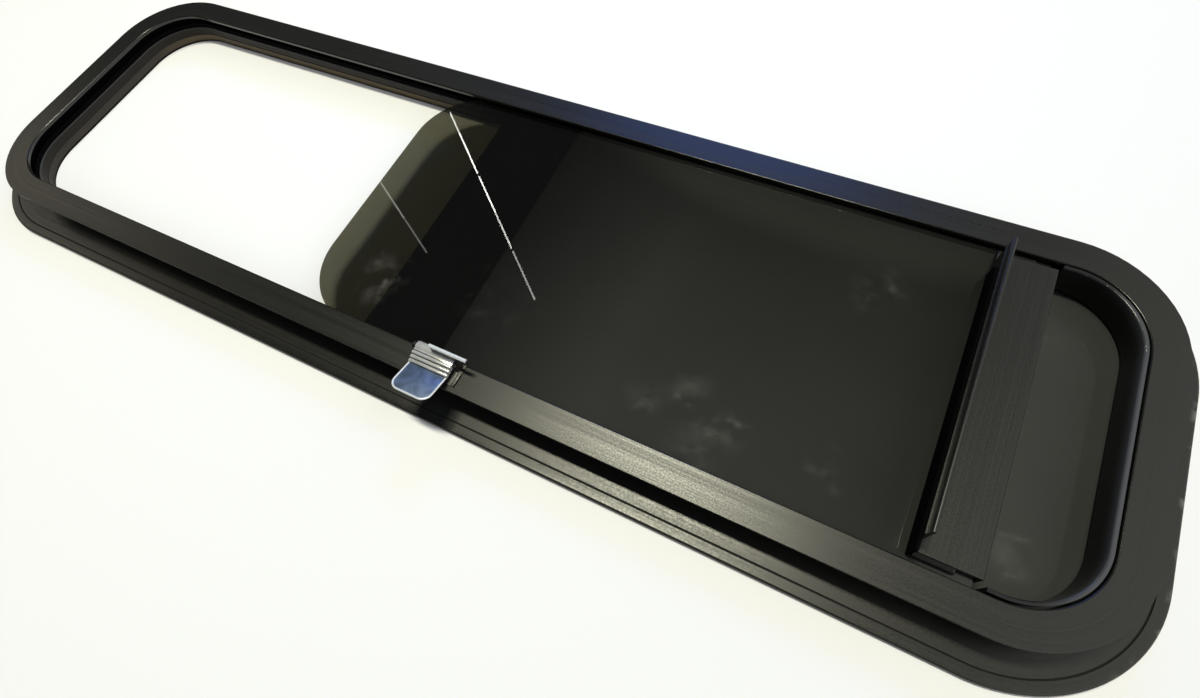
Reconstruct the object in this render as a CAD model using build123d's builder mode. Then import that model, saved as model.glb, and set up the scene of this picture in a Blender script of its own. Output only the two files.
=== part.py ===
# Half-slider camper window, lying on its exterior face with the interior side up
# Millimetres. X runs along the window with the fixed pane at +X, Y across it, Z from exterior to interior
# The origin is the middle of the exterior face
import os
from math import cos, radians, sin

from build123d import *

os.makedirs("parts", exist_ok=True)

# Aperture inside the clamp ring: every frame outline is this one moved outward by an offset
aperture_length = 800.0
aperture_height = 198.0
aperture_radius = 44.0
frame_depth = 27.0

# Small clearances between pieces that are assembled and stay put
fit_gap = 0.1

# Frame extrusion, by offsets outward from the aperture
flange_reach = 37.0
flange_thickness = 3.5
flange_edge_round = 1.4
flange_line_offset = 30.0
flange_line_width = 1.0
flange_line_depth = 0.9
lower_wall_offset = 1.0
wall_thickness = 2.0
ledge_thickness = 2.0
channel_offset = 7.0
flange_face_bevel = 0.8

# Clamp ring on the interior side, with a short leg outside the frame's upper wall
ring_width = 18.5
ring_thickness = 2.5
ring_edge_round = 0.8
ring_rim_bevel = 0.6
ring_leg_gap = 0.3
ring_leg_thickness = 2.0
ring_leg_depth = 8.0

# Flocked rubber run that guides the sliding pane
run_lip_offset = 2.2
run_roof = 2.1
run_sole = 3.6
run_play = 0.4
run_floor_play = 1.1

# Sliding pane
slider_length = 433.0
slider_thickness = 4.0
slider_bite = 4.5
slider_end_play = 0.5
slider_heel_round = 3.0
park_clearance = 7.0

# Pull stile on the sliding pane's trailing edge
stile_width = 33.0
stile_end_gap = 5.6
stile_plate = 3.0
stile_foot = 2.0
stile_web = 1.8
stile_jaw = 1.8
stile_jaw_reach = 17.0
stile_edge_round = 0.9
fin_height = 22.0
fin_thickness = 2.0
fin_bead_radius = 1.2
fin_rib_height = 15.0
fin_rib_depth = 0.8
fin_rib_width = 1.4
fin_end_inset = 5.6
glazing_rubber = 0.8
glazing_heel = 1.2
strip_width = 1.6
strip_rise = 16.0
strip_near_gap = 3.2
strip_far_gap = 20.0
strip_far_round = 9.0
cap_thickness = 2.4
cap_drop = 1.0
cap_length = 21.0
cap_tongue = 8.0

# Fixed pane and its gasket
fixed_thickness = 3.0
fixed_edge_inset = 0.8
gasket_base = 0.3
gasket_sill = 1.0
gasket_lip = 2.0
gasket_inset = 2.8
gasket_slot_play = 0.2

# Mullion under the sliding pane, with the pile seal near its free edge
mullion_width = 64.0
mullion_wall = 2.0
mullion_clearance = 1.9
mullion_overrun = 2.0
mullion_slot_depth = 5.5
mullion_slot_play = 0.2
mullion_slot_end_play = 0.5
seal_inset = 4.0
seal_width = 5.0
seal_root = 2.0
seal_running_gap = 0.3

# Liner that closes the slider channel round the fixed end
liner_inset = 3.4
liner_thickness = 2.2
liner_foot_height = 6.0
liner_edge_round = 0.9
liner_start_gap = 2.0

# Flip latch on the near side of the clamp ring
latch_gap = 2.5
lever_width = 28.2
lever_lead = 11.7
lever_sheet = 1.4
lever_barrel_radius = 3.7
lever_bore_play = 0.08
lever_base_gap = 0.3
lever_reach = 28.2
lever_corner_round = 6.6
lever_droop = 2.0
lever_ridges = 3
lever_ridge_radius = 1.4
lever_ridge_start = 4.7
lever_ridge_pitch = 2.5
nose_width = 23.5
nose_reach = 10.5
nose_angle = 85.0
latch_pin_offset = 2.0
latch_pin_radius = 1.5
latch_pin_seat_play = 0.05
cheek_thickness = 1.6
cheek_gap = 0.5
cheek_radius = 3.4
base_sheet = 1.0
base_inner_gap = 0.3
base_reach = 15.0
base_tail = 3.0
pin_overhang = 0.8

# Places worked out from the sizes above
half_length = aperture_length / 2
half_height = aperture_height / 2
rail_half = half_length - aperture_radius
end_half = half_height - aperture_radius
ring_bottom = frame_depth - ring_thickness
slider_top = ring_bottom - run_roof - run_play
slider_bottom = slider_top - slider_thickness
ledge_top = slider_bottom - run_play - run_sole
stile_right = rail_half - park_clearance
stile_left = stile_right - stile_width
slider_right = stile_right - stile_web - glazing_heel
slider_left = slider_right - slider_length
slider_left_closed = -(half_length + slider_bite) + slider_end_play
slider_travel = slider_left - slider_left_closed
stile_right_closed = stile_right - slider_travel
stile_half = half_height - stile_end_gap
rubber_top = slider_top + glazing_rubber
rubber_bottom = slider_bottom - glazing_rubber
stile_bottom = rubber_bottom - stile_jaw
stile_plate_bottom = frame_depth - stile_plate
fixed_bottom = gasket_base + gasket_sill
fixed_top = fixed_bottom + fixed_thickness
gasket_top = fixed_top + gasket_lip
mullion_right = stile_right_closed - mullion_overrun
mullion_left = mullion_right - mullion_width
mullion_top = stile_bottom - mullion_clearance
liner_start = stile_right + liner_start_gap
pin_y = -(half_height + latch_pin_offset)
pin_z = frame_depth + base_sheet + lever_base_gap + lever_barrel_radius
nose_left = stile_right_closed + latch_gap
nose_right = nose_left + nose_width
lever_left = nose_left - lever_lead
lever_right = lever_left + lever_width


def outline(offset):
    """Aperture outline moved outward by an offset."""
    RectangleRounded(aperture_length + 2 * offset, aperture_height + 2 * offset, aperture_radius + offset)


def section_plane(point, outward):
    """Plane across the frame: local X points away from the aperture, local Y points up."""
    return Plane(origin=point, x_dir=outward, z_dir=(outward[1], -outward[0], 0))


def long_side(section, side, start, end):
    """Extrudes a section along the far side (1) or the near side (-1) from start to end in X."""
    begin = start if side > 0 else end
    with BuildSketch(section_plane((begin, side * half_height, 0), (0, side, 0))) as profile:
        section()
    extrude(profile.sketch, amount=end - start)


def bent_end(section, side):
    """Carries a section round the right end (1) or the left end (-1): a bend, a straight and a bend."""
    for across in (1, -1):
        corner = (side * rail_half, across * half_height, 0)
        with BuildSketch(section_plane(corner, (0, across, 0))) as profile:
            section()
        turn = Axis((side * rail_half, across * end_half, 0), (0, 0, -side * across))
        revolve(profile.sketch, axis=turn, revolution_arc=90)
    with BuildSketch(section_plane((side * half_length, side * end_half, 0), (side, 0, 0))) as profile:
        section()
    extrude(profile.sketch, amount=2 * end_half)


def polygon(points, mode=Mode.ADD):
    """Filled outline through the given points."""
    Polygon(*points, align=None, mode=mode)


def frame_section():
    """Flange, lower wall, track ledge and upper wall of the frame extrusion."""
    line_out = flange_line_offset + flange_line_width / 2
    line_in = flange_line_offset - flange_line_width / 2
    line_floor = flange_thickness - flange_line_depth
    wall_out = lower_wall_offset + wall_thickness
    channel_out = channel_offset + wall_thickness
    ledge_bottom = ledge_top - ledge_thickness
    polygon([
        (lower_wall_offset, 0), (flange_reach, 0), (flange_reach, flange_thickness),
        (line_out, flange_thickness), (line_out, line_floor), (line_in, line_floor),
        (line_in, flange_thickness), (wall_out, flange_thickness), (wall_out, ledge_bottom),
        (channel_out, ledge_bottom), (channel_out, ring_bottom), (channel_offset, ring_bottom),
        (channel_offset, ledge_top), (lower_wall_offset, ledge_top),
    ])
    rim_low, rim_high = vertices().group_by(Axis.X)[-1].sort_by(Axis.Y)
    fillet(rim_high, flange_edge_round)
    chamfer(rim_low, flange_face_bevel)


def ring_section():
    """Flat clamp ring with its short leg."""
    leg_in = channel_offset + wall_thickness + ring_leg_gap
    leg_out = leg_in + ring_leg_thickness
    leg_bottom = ring_bottom - ring_leg_depth
    polygon([
        (0, ring_bottom), (leg_in, ring_bottom), (leg_in, leg_bottom), (leg_out, leg_bottom),
        (leg_out, ring_bottom), (ring_width, ring_bottom), (ring_width, frame_depth), (0, frame_depth),
    ])
    top_inner, top_outer = vertices().group_by(Axis.Y)[-1].sort_by(Axis.X)
    fillet(top_inner, ring_edge_round)
    chamfer(top_outer, ring_rim_bevel)


def run_section():
    """Rubber channel with the slot for the sliding pane."""
    back = channel_offset - fit_gap
    floor = slider_bite + run_floor_play
    slot_low = slider_bottom - run_play
    slot_high = slider_top + run_play
    polygon([
        (run_lip_offset, ledge_top), (back, ledge_top), (back, ring_bottom), (run_lip_offset, ring_bottom),
        (run_lip_offset, slot_high), (floor, slot_high), (floor, slot_low), (run_lip_offset, slot_low),
    ])


def gasket_section():
    """Rubber gasket gripping the fixed pane's edge."""
    back = lower_wall_offset - fit_gap
    floor = gasket_slot_play - fixed_edge_inset
    polygon([
        (-gasket_inset, gasket_base), (back, gasket_base), (back, gasket_top), (-gasket_inset, gasket_top),
        (-gasket_inset, fixed_top), (floor, fixed_top), (floor, fixed_bottom), (-gasket_inset, fixed_bottom),
    ])


def liner_section():
    """Upright liner wall with a foot that sits on the track ledge."""
    wall_back = liner_thickness - liner_inset
    foot_back = channel_offset - fit_gap
    foot_top = ledge_top + liner_foot_height
    polygon([
        (-liner_inset, gasket_top), (wall_back, gasket_top), (wall_back, ledge_top), (foot_back, ledge_top),
        (foot_back, foot_top), (wall_back, foot_top), (wall_back, frame_depth), (-liner_inset, frame_depth),
    ])
    fillet(vertices().group_by(Axis.Y)[-1].sort_by(Axis.X)[0], liner_edge_round)


# Outer frame: one bent extrusion, kept as two rails and two bent ends
with BuildPart() as frame_far_rail:
    long_side(frame_section, 1, -rail_half, rail_half)
frame_far_rail.part.label = "frame_far_rail"

with BuildPart() as frame_near_rail:
    long_side(frame_section, -1, -rail_half, rail_half)
frame_near_rail.part.label = "frame_near_rail"

with BuildPart() as frame_left_end:
    bent_end(frame_section, -1)
frame_left_end.part.label = "frame_left_end"

with BuildPart() as frame_right_end:
    bent_end(frame_section, 1)
frame_right_end.part.label = "frame_right_end"

# Clamp ring: one closed loop on the interior side
with BuildPart() as clamp_ring:
    for ring_side in (1, -1):
        long_side(ring_section, ring_side, -rail_half, rail_half)
        bent_end(ring_section, ring_side)
clamp_ring.part.label = "clamp_ring"

# Glass run in the slider channel, open at the fixed end
run_end = liner_start - fit_gap
with BuildPart() as glass_run_far:
    long_side(run_section, 1, -rail_half, run_end)
glass_run_far.part.label = "glass_run_far"

with BuildPart() as glass_run_near:
    long_side(run_section, -1, -rail_half, run_end)
glass_run_near.part.label = "glass_run_near"

with BuildPart() as glass_run_left:
    bent_end(run_section, -1)
glass_run_left.part.label = "glass_run_left"

# Fixed pane, with its free edge in the mullion's slot
fixed_left = mullion_right - mullion_slot_depth + mullion_slot_end_play
fixed_span = half_length - fixed_left
with BuildPart() as fixed_glass:
    with BuildSketch(Plane.XY.offset(fixed_bottom)):
        outline(-fixed_edge_inset)
        with Locations(((fixed_left + half_length) / 2, 0)):
            Rectangle(fixed_span, aperture_height, mode=Mode.INTERSECT)
    extrude(amount=fixed_thickness)
fixed_glass.part.label = "fixed_glass"

with BuildPart() as fixed_glass_gasket:
    for gasket_side in (1, -1):
        long_side(gasket_section, gasket_side, mullion_right + fit_gap, rail_half)
    bent_end(gasket_section, 1)
fixed_glass_gasket.part.label = "fixed_glass_gasket"

# Liner round the fixed end
with BuildPart() as channel_liner:
    for liner_side in (1, -1):
        long_side(liner_section, liner_side, liner_start, rail_half)
    bent_end(liner_section, 1)
channel_liner.part.label = "channel_liner"

# Mullion: a hollow bar between the two lower walls
mullion_half = half_height + lower_wall_offset
mullion_middle = (mullion_left + mullion_right) / 2
mullion_height = mullion_top - gasket_base
seal_left = mullion_left + seal_inset
seal_right = seal_left + seal_width
slot_left = mullion_right - mullion_slot_depth
groove_floor = mullion_top - seal_root
chamber_left = seal_right + mullion_wall
chamber_right = slot_left - mullion_wall
with BuildPart() as mullion:
    with BuildSketch(Plane.XZ):
        polygon([
            (mullion_left, gasket_base), (mullion_right, gasket_base),
            (mullion_right, fixed_bottom - mullion_slot_play), (slot_left, fixed_bottom - mullion_slot_play),
            (slot_left, fixed_top + mullion_slot_play), (mullion_right, fixed_top + mullion_slot_play),
            (mullion_right, mullion_top), (seal_right, mullion_top), (seal_right, groove_floor),
            (seal_left, groove_floor), (seal_left, mullion_top), (mullion_left, mullion_top),
        ])
        chamber = [
            (chamber_left, gasket_base + mullion_wall), (chamber_right, gasket_base + mullion_wall),
            (chamber_right, mullion_top - mullion_wall), (chamber_left, mullion_top - mullion_wall),
        ]
        polygon(chamber, mode=Mode.SUBTRACT)
    extrude(amount=mullion_half, both=True)
mullion.part.label = "mullion"

# Pile seal: root in the mullion's groove, brush up to just under the sliding pane
seal_half = mullion_half - fit_gap
seal_top = slider_bottom - seal_running_gap
with BuildPart() as mullion_seal:
    with BuildSketch(Plane.XZ):
        polygon([
            (seal_left + fit_gap, groove_floor), (seal_right - fit_gap, groove_floor),
            (seal_right - fit_gap, mullion_top), (seal_right - mullion_wall / 2, mullion_top),
            (seal_right - mullion_wall / 2, seal_top), (seal_left + mullion_wall / 2, seal_top),
            (seal_left + mullion_wall / 2, mullion_top), (seal_left + fit_gap, mullion_top),
        ])
    extrude(amount=seal_half, both=True)
mullion_seal.part.label = "mullion_seal"

# Sliding pane, open as photographed: wide corners lead, square heel sits in the stile
slider_height = aperture_height + 2 * slider_bite
with BuildPart() as slider_glass:
    with BuildSketch(Plane.XY.offset(slider_bottom)):
        with Locations(((slider_left + slider_right) / 2, 0)):
            Rectangle(slider_length, slider_height)
        fillet(vertices().group_by(Axis.X)[0], aperture_radius + slider_bite)
        fillet(vertices().group_by(Axis.X)[-1], slider_heel_round)
    extrude(amount=slider_thickness)
slider_glass.part.label = "slider_glass"

# Glazing rubber folded over the sliding pane's heel, with a soft strip up the stile's leading face
heel_left = stile_right - stile_web - stile_jaw_reach
heel_right = stile_right - stile_web
strip_near = strip_near_gap - half_height
strip_far = half_height - strip_far_gap
with BuildPart() as stile_rubber:
    with BuildSketch(Plane.XZ):
        polygon([
            (stile_left, slider_top), (slider_right, slider_top), (slider_right, slider_bottom),
            (heel_left, slider_bottom), (heel_left, rubber_bottom), (heel_right, rubber_bottom),
            (heel_right, rubber_top), (stile_left, rubber_top),
        ])
    extrude(amount=stile_half, both=True)
    with BuildSketch(Plane.YZ.offset(stile_left)):
        with Locations(((strip_near + strip_far) / 2, slider_top + strip_rise / 2)):
            Rectangle(strip_far - strip_near, strip_rise)
        fillet(vertices().group_by(Axis.Y)[-1].sort_by(Axis.X)[-1], strip_far_round)
    extrude(amount=-strip_width)
stile_rubber.part.label = "stile_rubber"


def stile_channel():
    """C-shaped channel round the pane's heel: top plate on two feet, web and lower jaw."""
    polygon([
        (stile_left, rubber_top), (stile_left + stile_foot, rubber_top),
        (stile_left + stile_foot, stile_plate_bottom), (heel_right - stile_foot, stile_plate_bottom),
        (heel_right - stile_foot, rubber_top), (heel_right, rubber_top), (heel_right, rubber_bottom),
        (heel_left, rubber_bottom), (heel_left, stile_bottom), (stile_right, stile_bottom),
        (stile_right, frame_depth), (stile_left, frame_depth),
    ])


# Pull stile: channel, upright fin on its leading edge, a grip rib near its top and the bead along it
fin_half = stile_half - fin_end_inset
fin_middle = stile_left + fin_thickness / 2
with BuildPart() as slider_stile:
    with BuildSketch(Plane.XZ):
        stile_channel()
        fillet(vertices().group_by(Axis.Y)[-1].sort_by(Axis.X)[-1:], stile_edge_round)
    extrude(amount=stile_half, both=True)
    with BuildSketch(Plane.XZ):
        with Locations((fin_middle, frame_depth + fin_height / 2)):
            Rectangle(fin_thickness, fin_height)
        with Locations((fin_middle, frame_depth + fin_height)):
            Circle(fin_bead_radius)
        with Locations((stile_left, frame_depth + fin_rib_height)):
            Rectangle(2 * fin_rib_depth, fin_rib_width)
    extrude(amount=fin_half, both=True)
slider_stile.part.label = "slider_stile"

# Black end plugs on both ends of the stile: a plate over the channel's leading part with a tongue under its top
cap_right = stile_left + cap_length
cap_top = frame_depth - cap_drop
tongue_left = stile_left + stile_foot + fit_gap
tongue_right = heel_right - stile_foot - fit_gap
tongue_top = stile_plate_bottom - fit_gap
stile_caps = {}
for cap_name, cap_side in (("stile_cap_far", 1), ("stile_cap_near", -1)):
    with BuildPart() as stile_cap:
        with BuildSketch(Plane.XZ.offset(-cap_side * stile_half)):
            polygon([
                (stile_left, rubber_top), (cap_right, rubber_top), (cap_right, cap_top), (stile_left, cap_top),
            ])
            fillet(vertices().group_by(Axis.Y)[-1], cap_drop)
        extrude(amount=-cap_side * cap_thickness)
        with BuildSketch(Plane.XZ.offset(-cap_side * stile_half)):
            polygon([
                (tongue_left, rubber_top + fit_gap), (tongue_right, rubber_top + fit_gap),
                (tongue_right, tongue_top), (tongue_left, tongue_top),
            ])
        extrude(amount=cap_side * cap_tongue)
    stile_cap.part.label = cap_name
    stile_caps[cap_name] = stile_cap.part

# Latch base: a plate on the clamp ring with two cheeks that hold the pin
left_cheek = lever_left - cheek_gap - cheek_thickness
right_cheek = lever_right + cheek_gap
base_inner = -(half_height + base_inner_gap)
base_outer = base_inner - base_reach
base_right = right_cheek + cheek_thickness + base_tail
with BuildPart() as latch_base:
    with BuildSketch(Plane.XY.offset(frame_depth)):
        with Locations(((left_cheek + base_right) / 2, (base_inner + base_outer) / 2)):
            Rectangle(base_right - left_cheek, base_reach)
    extrude(amount=base_sheet)
    for cheek_x in (left_cheek, right_cheek):
        with BuildSketch(Plane.YZ.offset(cheek_x)):
            with Locations((pin_y - cheek_radius / 2, (frame_depth + pin_z) / 2)):
                Rectangle(cheek_radius, pin_z - frame_depth)
            with Locations((pin_y, pin_z)):
                Circle(cheek_radius)
                Circle(latch_pin_radius + latch_pin_seat_play, mode=Mode.SUBTRACT)
        extrude(amount=cheek_thickness)
latch_base.part.label = "latch_base"

pin_left = left_cheek - pin_overhang
pin_right = right_cheek + cheek_thickness + pin_overhang
with BuildPart() as latch_pin:
    with BuildSketch(Plane.YZ.offset(pin_left)):
        with Locations((pin_y, pin_z)):
            Circle(latch_pin_radius)
    extrude(amount=pin_right - pin_left)
latch_pin.part.label = "latch_pin"


def latch_plane(angle):
    """Plane through the pin's axis: local X along the pin, local Y outward from it at the given angle."""
    return Plane(
        origin=(0, pin_y, pin_z), x_dir=(1, 0, 0), z_dir=(0, -sin(radians(angle)), cos(radians(angle)))
    )


# Latch lever: rolled barrel on the pin, ridged thumb tab lying outward, nose standing on the inner side
tab_angle = 180 + lever_droop
lever_middle = (lever_left + lever_right) / 2
nose_root = cheek_radius + cheek_gap
with BuildPart() as latch_lever:
    with BuildSketch(Plane.YZ.offset(lever_left)):
        with Locations((pin_y, pin_z)):
            Circle(lever_barrel_radius)
    extrude(amount=lever_width)
    with BuildSketch(latch_plane(tab_angle)):
        with Locations((lever_middle, lever_reach / 2)):
            Rectangle(lever_width, lever_reach)
        fillet(vertices().group_by(Axis.Y)[-1], lever_corner_round)
    extrude(amount=lever_sheet / 2, both=True)
    with BuildSketch(latch_plane(nose_angle)):
        with Locations(((nose_left + nose_right) / 2, (nose_root + nose_reach) / 2)):
            Rectangle(nose_width, nose_reach - nose_root)
        with Locations(((nose_left + lever_right) / 2, nose_reach / 2)):
            Rectangle(lever_right - nose_left, nose_reach)
    extrude(amount=lever_sheet / 2, both=True)
    with BuildSketch(Plane.YZ.offset(lever_left)):
        for ridge in range(lever_ridges):
            ridge_reach = lever_ridge_start + ridge * lever_ridge_pitch
            ridge_y = pin_y + ridge_reach * cos(radians(tab_angle))
            ridge_z = pin_z + ridge_reach * sin(radians(tab_angle))
            with Locations((ridge_y, ridge_z)):
                Circle(lever_ridge_radius)
    extrude(amount=lever_width)
    with BuildSketch(Plane.YZ.offset(lever_left)):
        with Locations((pin_y, pin_z)):
            Circle(latch_pin_radius + lever_bore_play)
    extrude(amount=lever_width, mode=Mode.SUBTRACT)
latch_lever.part.label = "latch_lever"

for piece in (
    frame_far_rail, frame_near_rail, frame_left_end, frame_right_end, clamp_ring,
    glass_run_far, glass_run_near, glass_run_left, fixed_glass, fixed_glass_gasket, channel_liner,
    mullion, mullion_seal, slider_glass, stile_rubber, slider_stile, latch_base, latch_pin, latch_lever,
):
    export_step(piece.part, f"parts/{piece.part.label}.step")
for cap_name, cap_part in stile_caps.items():
    export_step(cap_part, f"parts/{cap_name}.step")
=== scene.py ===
"""Looks of a camper half-slider window: finishes, small fittings, studio and camera."""
import math

import bmesh
import bpy
from mathutils import Matrix, Vector


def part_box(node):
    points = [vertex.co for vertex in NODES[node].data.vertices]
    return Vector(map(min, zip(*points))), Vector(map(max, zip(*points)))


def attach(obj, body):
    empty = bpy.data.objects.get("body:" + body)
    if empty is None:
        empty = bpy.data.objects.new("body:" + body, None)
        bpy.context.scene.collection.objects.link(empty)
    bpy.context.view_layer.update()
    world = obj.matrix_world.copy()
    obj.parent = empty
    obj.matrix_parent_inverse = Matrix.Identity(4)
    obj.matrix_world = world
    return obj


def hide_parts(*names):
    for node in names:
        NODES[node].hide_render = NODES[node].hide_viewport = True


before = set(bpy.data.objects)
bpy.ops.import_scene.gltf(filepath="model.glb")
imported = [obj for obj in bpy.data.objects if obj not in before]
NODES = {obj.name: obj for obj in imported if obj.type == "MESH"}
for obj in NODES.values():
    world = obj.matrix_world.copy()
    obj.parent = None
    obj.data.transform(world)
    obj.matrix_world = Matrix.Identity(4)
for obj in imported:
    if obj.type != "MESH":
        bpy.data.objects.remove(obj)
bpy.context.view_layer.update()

bl_info = {
    "name": "Camper Window Looks",
    "version": (1, 0, 0),
    "blender": (4, 5, 0),
    "location": "3D View > Sidebar > Window",
    "description": "Dresses a half-slider camper window with its finishes and sets up its studio",
    "category": "Object",
}

MM = 0.001

FRAME_NODES = ("frame_far_rail", "frame_near_rail", "frame_left_end", "frame_right_end")
PANE_NODES = ("slider_glass", "fixed_glass")
RUN_NODES = ("glass_run_far", "glass_run_near", "glass_run_left")
CAP_NODES = ("stile_cap_far", "stile_cap_near")

# Aperture outline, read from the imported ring: the ring's inner edge is this far inside its outer edge
RING_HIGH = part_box("clamp_ring")[1]
RING_WIDTH = 18.5 * MM
CORNER_RADIUS = 44.0 * MM
HALF_LENGTH = RING_HIGH.x - RING_WIDTH
HALF_HEIGHT = RING_HIGH.y - RING_WIDTH
RING_TOP = RING_HIGH.z

# Anodised skin: fineness and stretch of its die lines, noise scales, and how far they swing the roughness
LINE_SLANT = 0.6
BROAD_LINES = (330.0, 2.0)
BROAD_BAND = (0.32, 0.68)
BROAD_SWING = (-0.03, 0.045)
FINE_LINES = (1700.0, 5.0)
FINE_BAND = (0.36, 0.64)
FINE_SWING = (-0.028, 0.028)
GRAIN_SCALE = 1000.0
GRAIN_BAND = (0.32, 0.70)
GRAIN_SWING = (-0.045, 0.060)
CLOUD_SCALE = 24.0
PALE_LINES = (0.45, 0.75)
PALE_CLOUDS = (0.4, 0.7)
PALE_GAIN = 1.5
PALE_LIFT = 0.0015
SKIN_SHINE = 0.5
RIPPLE_DEPTH = 0.3 * MM
RIPPLE_STRENGTH = 0.10
STRAIGHT_STRENGTH = 0.05
FINE_RIPPLE = 0.22

# Track walls: bands by offset from the aperture and by height, and ribs round the open end. The upper wall
# and the foot carry painted shade, the ledge edge a painted highlight, and a band low down is paler, browner
# with streaks on the far side
WALL_OFFSET = 1.0 * MM
WALL_BAND = (9.5 * MM, 11.5 * MM)
# The walls turn paler below these heights
WALL_LOW_BAND = (6.6 * MM, 7.6 * MM)
# Painted shade along the foot of the walls, below these heights
FOOT_SHADE_BAND = (1.5 * MM, 2.1 * MM)
# Painted shade: the upper wall keeps this share of its colour
WALL_SHADE = 0.55
WALL_LOW_GAIN = 1.5
WALL_ROUGHER = 0.22
WALL_SHINE = 0.16
# Colour of the painted shade along the walls' foot
FOOT_SHADE_COLOUR = (0.003, 0.003, 0.003)
FAR_SIDE = (60.0 * MM, HALF_HEIGHT)
# Streaks in the brown low band of the far wall: fineness and stretch, band, share and paler gain
LOW_STREAK_LINES = (650.0, 4.0)
LOW_STREAK_BAND = (0.50, 0.66)
LOW_STREAK_SHARE = 0.5
LOW_STREAK_GAIN = 2.0
# Painted highlight on the ledge's edge: the ledge's top height and the band round it
LEDGE_TOP = 14.0 * MM
LEDGE_HIGHLIGHT_BAND = (0.2 * MM, 0.5 * MM)
RIB_HEIGHTS = (2.1 * MM, 7.2 * MM)
RIB_RADIUS = 0.4 * MM
RIB_SIDES = 8
BEND_STEPS = 16

# Flange: painted shade in the groove round it, a smoother skin outside the groove, and scuffs on the rim at
# the fixed end
GROOVE_OFFSET = 30.0 * MM
GROOVE_BAND = (0.4 * MM, 0.8 * MM)
# Colour of the painted shade in the groove
GROOVE_SHADE_COLOUR = (0.0015, 0.0015, 0.0015)
GROOVE_ROUGHER = 0.5
RIM_SMOOTHER = 0.025
SCUFF_END = (415.0 * MM, 432.0 * MM)
SCUFF_RIM = (33.5 * MM, 36.2 * MM)
SCUFF_SCALE = 95.0
SCUFF_BAND = (0.55, 0.66)
SCUFF_COLOUR = (0.13, 0.13, 0.12)

# Inner edge of the clamp ring, rubbed smoother
EDGE_BAND = (0.6 * MM, 1.1 * MM)
EDGE_SMOOTHER = 0.14

# Panes: a film of haze, specks of dust and the mirror skin
FILM_SCALE = 12.0
FILM_BAND = (0.35, 0.75)
FILM_SWING = (0.92, 1.08)
SPECK_SCALE = 700.0
SPECK_BAND = (0.74, 0.80)
SPECK_STRENGTH = 0.12
BORDER_SOFTNESS = 0.6 * MM
FADE_START = 0.26
HAZE_ROUGHNESS = 0.38
MIRROR_ROUGHNESS = 0.008
GLASS_IOR = 1.52

# Each pane's haze and mirror skin, the border in X where the haze sets in, what is left of it before there,
# how far on it takes to be full, and its shares at the near and the far side. On the slider the border is the
# mullion's edge, and the haze step there paints light and shade: lighter over the double glass, darker over
# the mullion
SLIDER_PANE = {
    "haze": 0.145, "skin": 1.0, "border": 33.0 * MM, "bare": 0.12, "fade": 100.0 * MM, "lean": (1.78, 0.60)}
FIXED_PANE = {
    "haze": 0.39, "skin": 0.20, "border": 58.0 * MM, "bare": 0.9, "fade": 80.0 * MM, "lean": (1.05, 0.97)}

# Finger marks on the panes: x, y, radius and strength, and the noises that break them into strokes
SLIDER_MARKS = (
    (0.184, -0.058, 0.016, 0.55), (0.213, -0.072, 0.014, 0.75), (0.162, -0.068, 0.016, 0.45),
    (0.200, -0.088, 0.022, 0.30), (0.269, -0.070, 0.016, 0.28), (0.262, 0.046, 0.020, 0.26),
    (-0.035, -0.060, 0.020, 0.70), (-0.037, -0.078, 0.014, 0.55), (0.042, -0.051, 0.03, 0.10))
FIXED_MARKS = ((0.366, -0.070, 0.016, 0.60), (0.356, 0.062, 0.014, 0.15))
MARK_CORE = 0.2
SMEAR_SCALE = 60.0
SMEAR_BAND = (0.46, 0.72)
SMEAR_SHARE = 0.45
SWIRL_SCALE = 38.0
SWIRL_WIDTH = 0.085
SWIRL_STRENGTH = 1.2
STROKE_SCALE = 72.0
STROKE_BAND = (0.50, 0.70)

# Rubber and plastic: mean roughness, scale of the grain, mirror share and relief of the grain
FLOCK = {"roughness": 0.90, "grain": 2600.0, "shine": 0.03, "relief": 0.2}
RUBBER = {"roughness": 0.45, "grain": 1500.0, "shine": 0.4, "relief": 0.15}
PLASTIC = {"roughness": 0.16, "grain": 1100.0, "shine": 0.42, "relief": 0.03}
GRAIN_PALE = (0.35, 0.75)
GRAIN_ROUGH = (0.3, 0.7)
GRAIN_GAIN = 1.8
GRAIN_LIFT = 0.004
GRAIN_SPREAD = 0.4
GRAIN_DEPTH = 0.1 * MM

# Painted sheen on the liner: paler this far down from its top edge, less on its rounded lip and along its
# long sides
SHEEN_DEPTH = 13.0 * MM
SHEEN_FALL = 3.0
SHEEN_LIP = 0.9 * MM
LIP_SHARE = 0.6
SHEEN_RUN = (34.0 * MM, 14.0 * MM)
SIDE_SHARE = 0.12

# Plated sheet of the latch: roughness, depth of its ripples, metal share and the colour left where it is worn
CHROME = {"roughness": 0.20, "ripple_depth": 0.15 * MM, "metal": 0.45, "worn_share": 0.8}
# Rim and nose bead: chrome with a painted blue-white highlight in its colour
BEAD_HIGHLIGHT = {"roughness": 0.20, "ripple_depth": 0.15 * MM, "metal": 0.30, "worn_share": 0.9}
# Tab sheet: its blue-grey colour is a painted reflection of blue sky on chrome
TAB_PAINTED_SKY = {"roughness": 0.34, "ripple_depth": 0.15 * MM, "metal": 0.35, "worn_share": 0.5}
STEEL = {"roughness": 0.28, "ripple_depth": 0.20 * MM, "metal": 1.0, "worn_share": 0.5}
SHEET_RIPPLE = 110.0
SHEET_STRENGTH = 0.5
SHEET_RUBS = 1600.0
SHEET_CLOUD = 75.0
CLOUD_WARP = 1.6
WORN_BAND = (0.40, 0.66)
WORN_CLOUDS = 0.8
RUBS_BAND = (0.4, 0.7)
WORN_RUBS = 0.2
GLOSS_BAND = (0.3, 0.8)
GLOSS_SWING = 0.10
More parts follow.
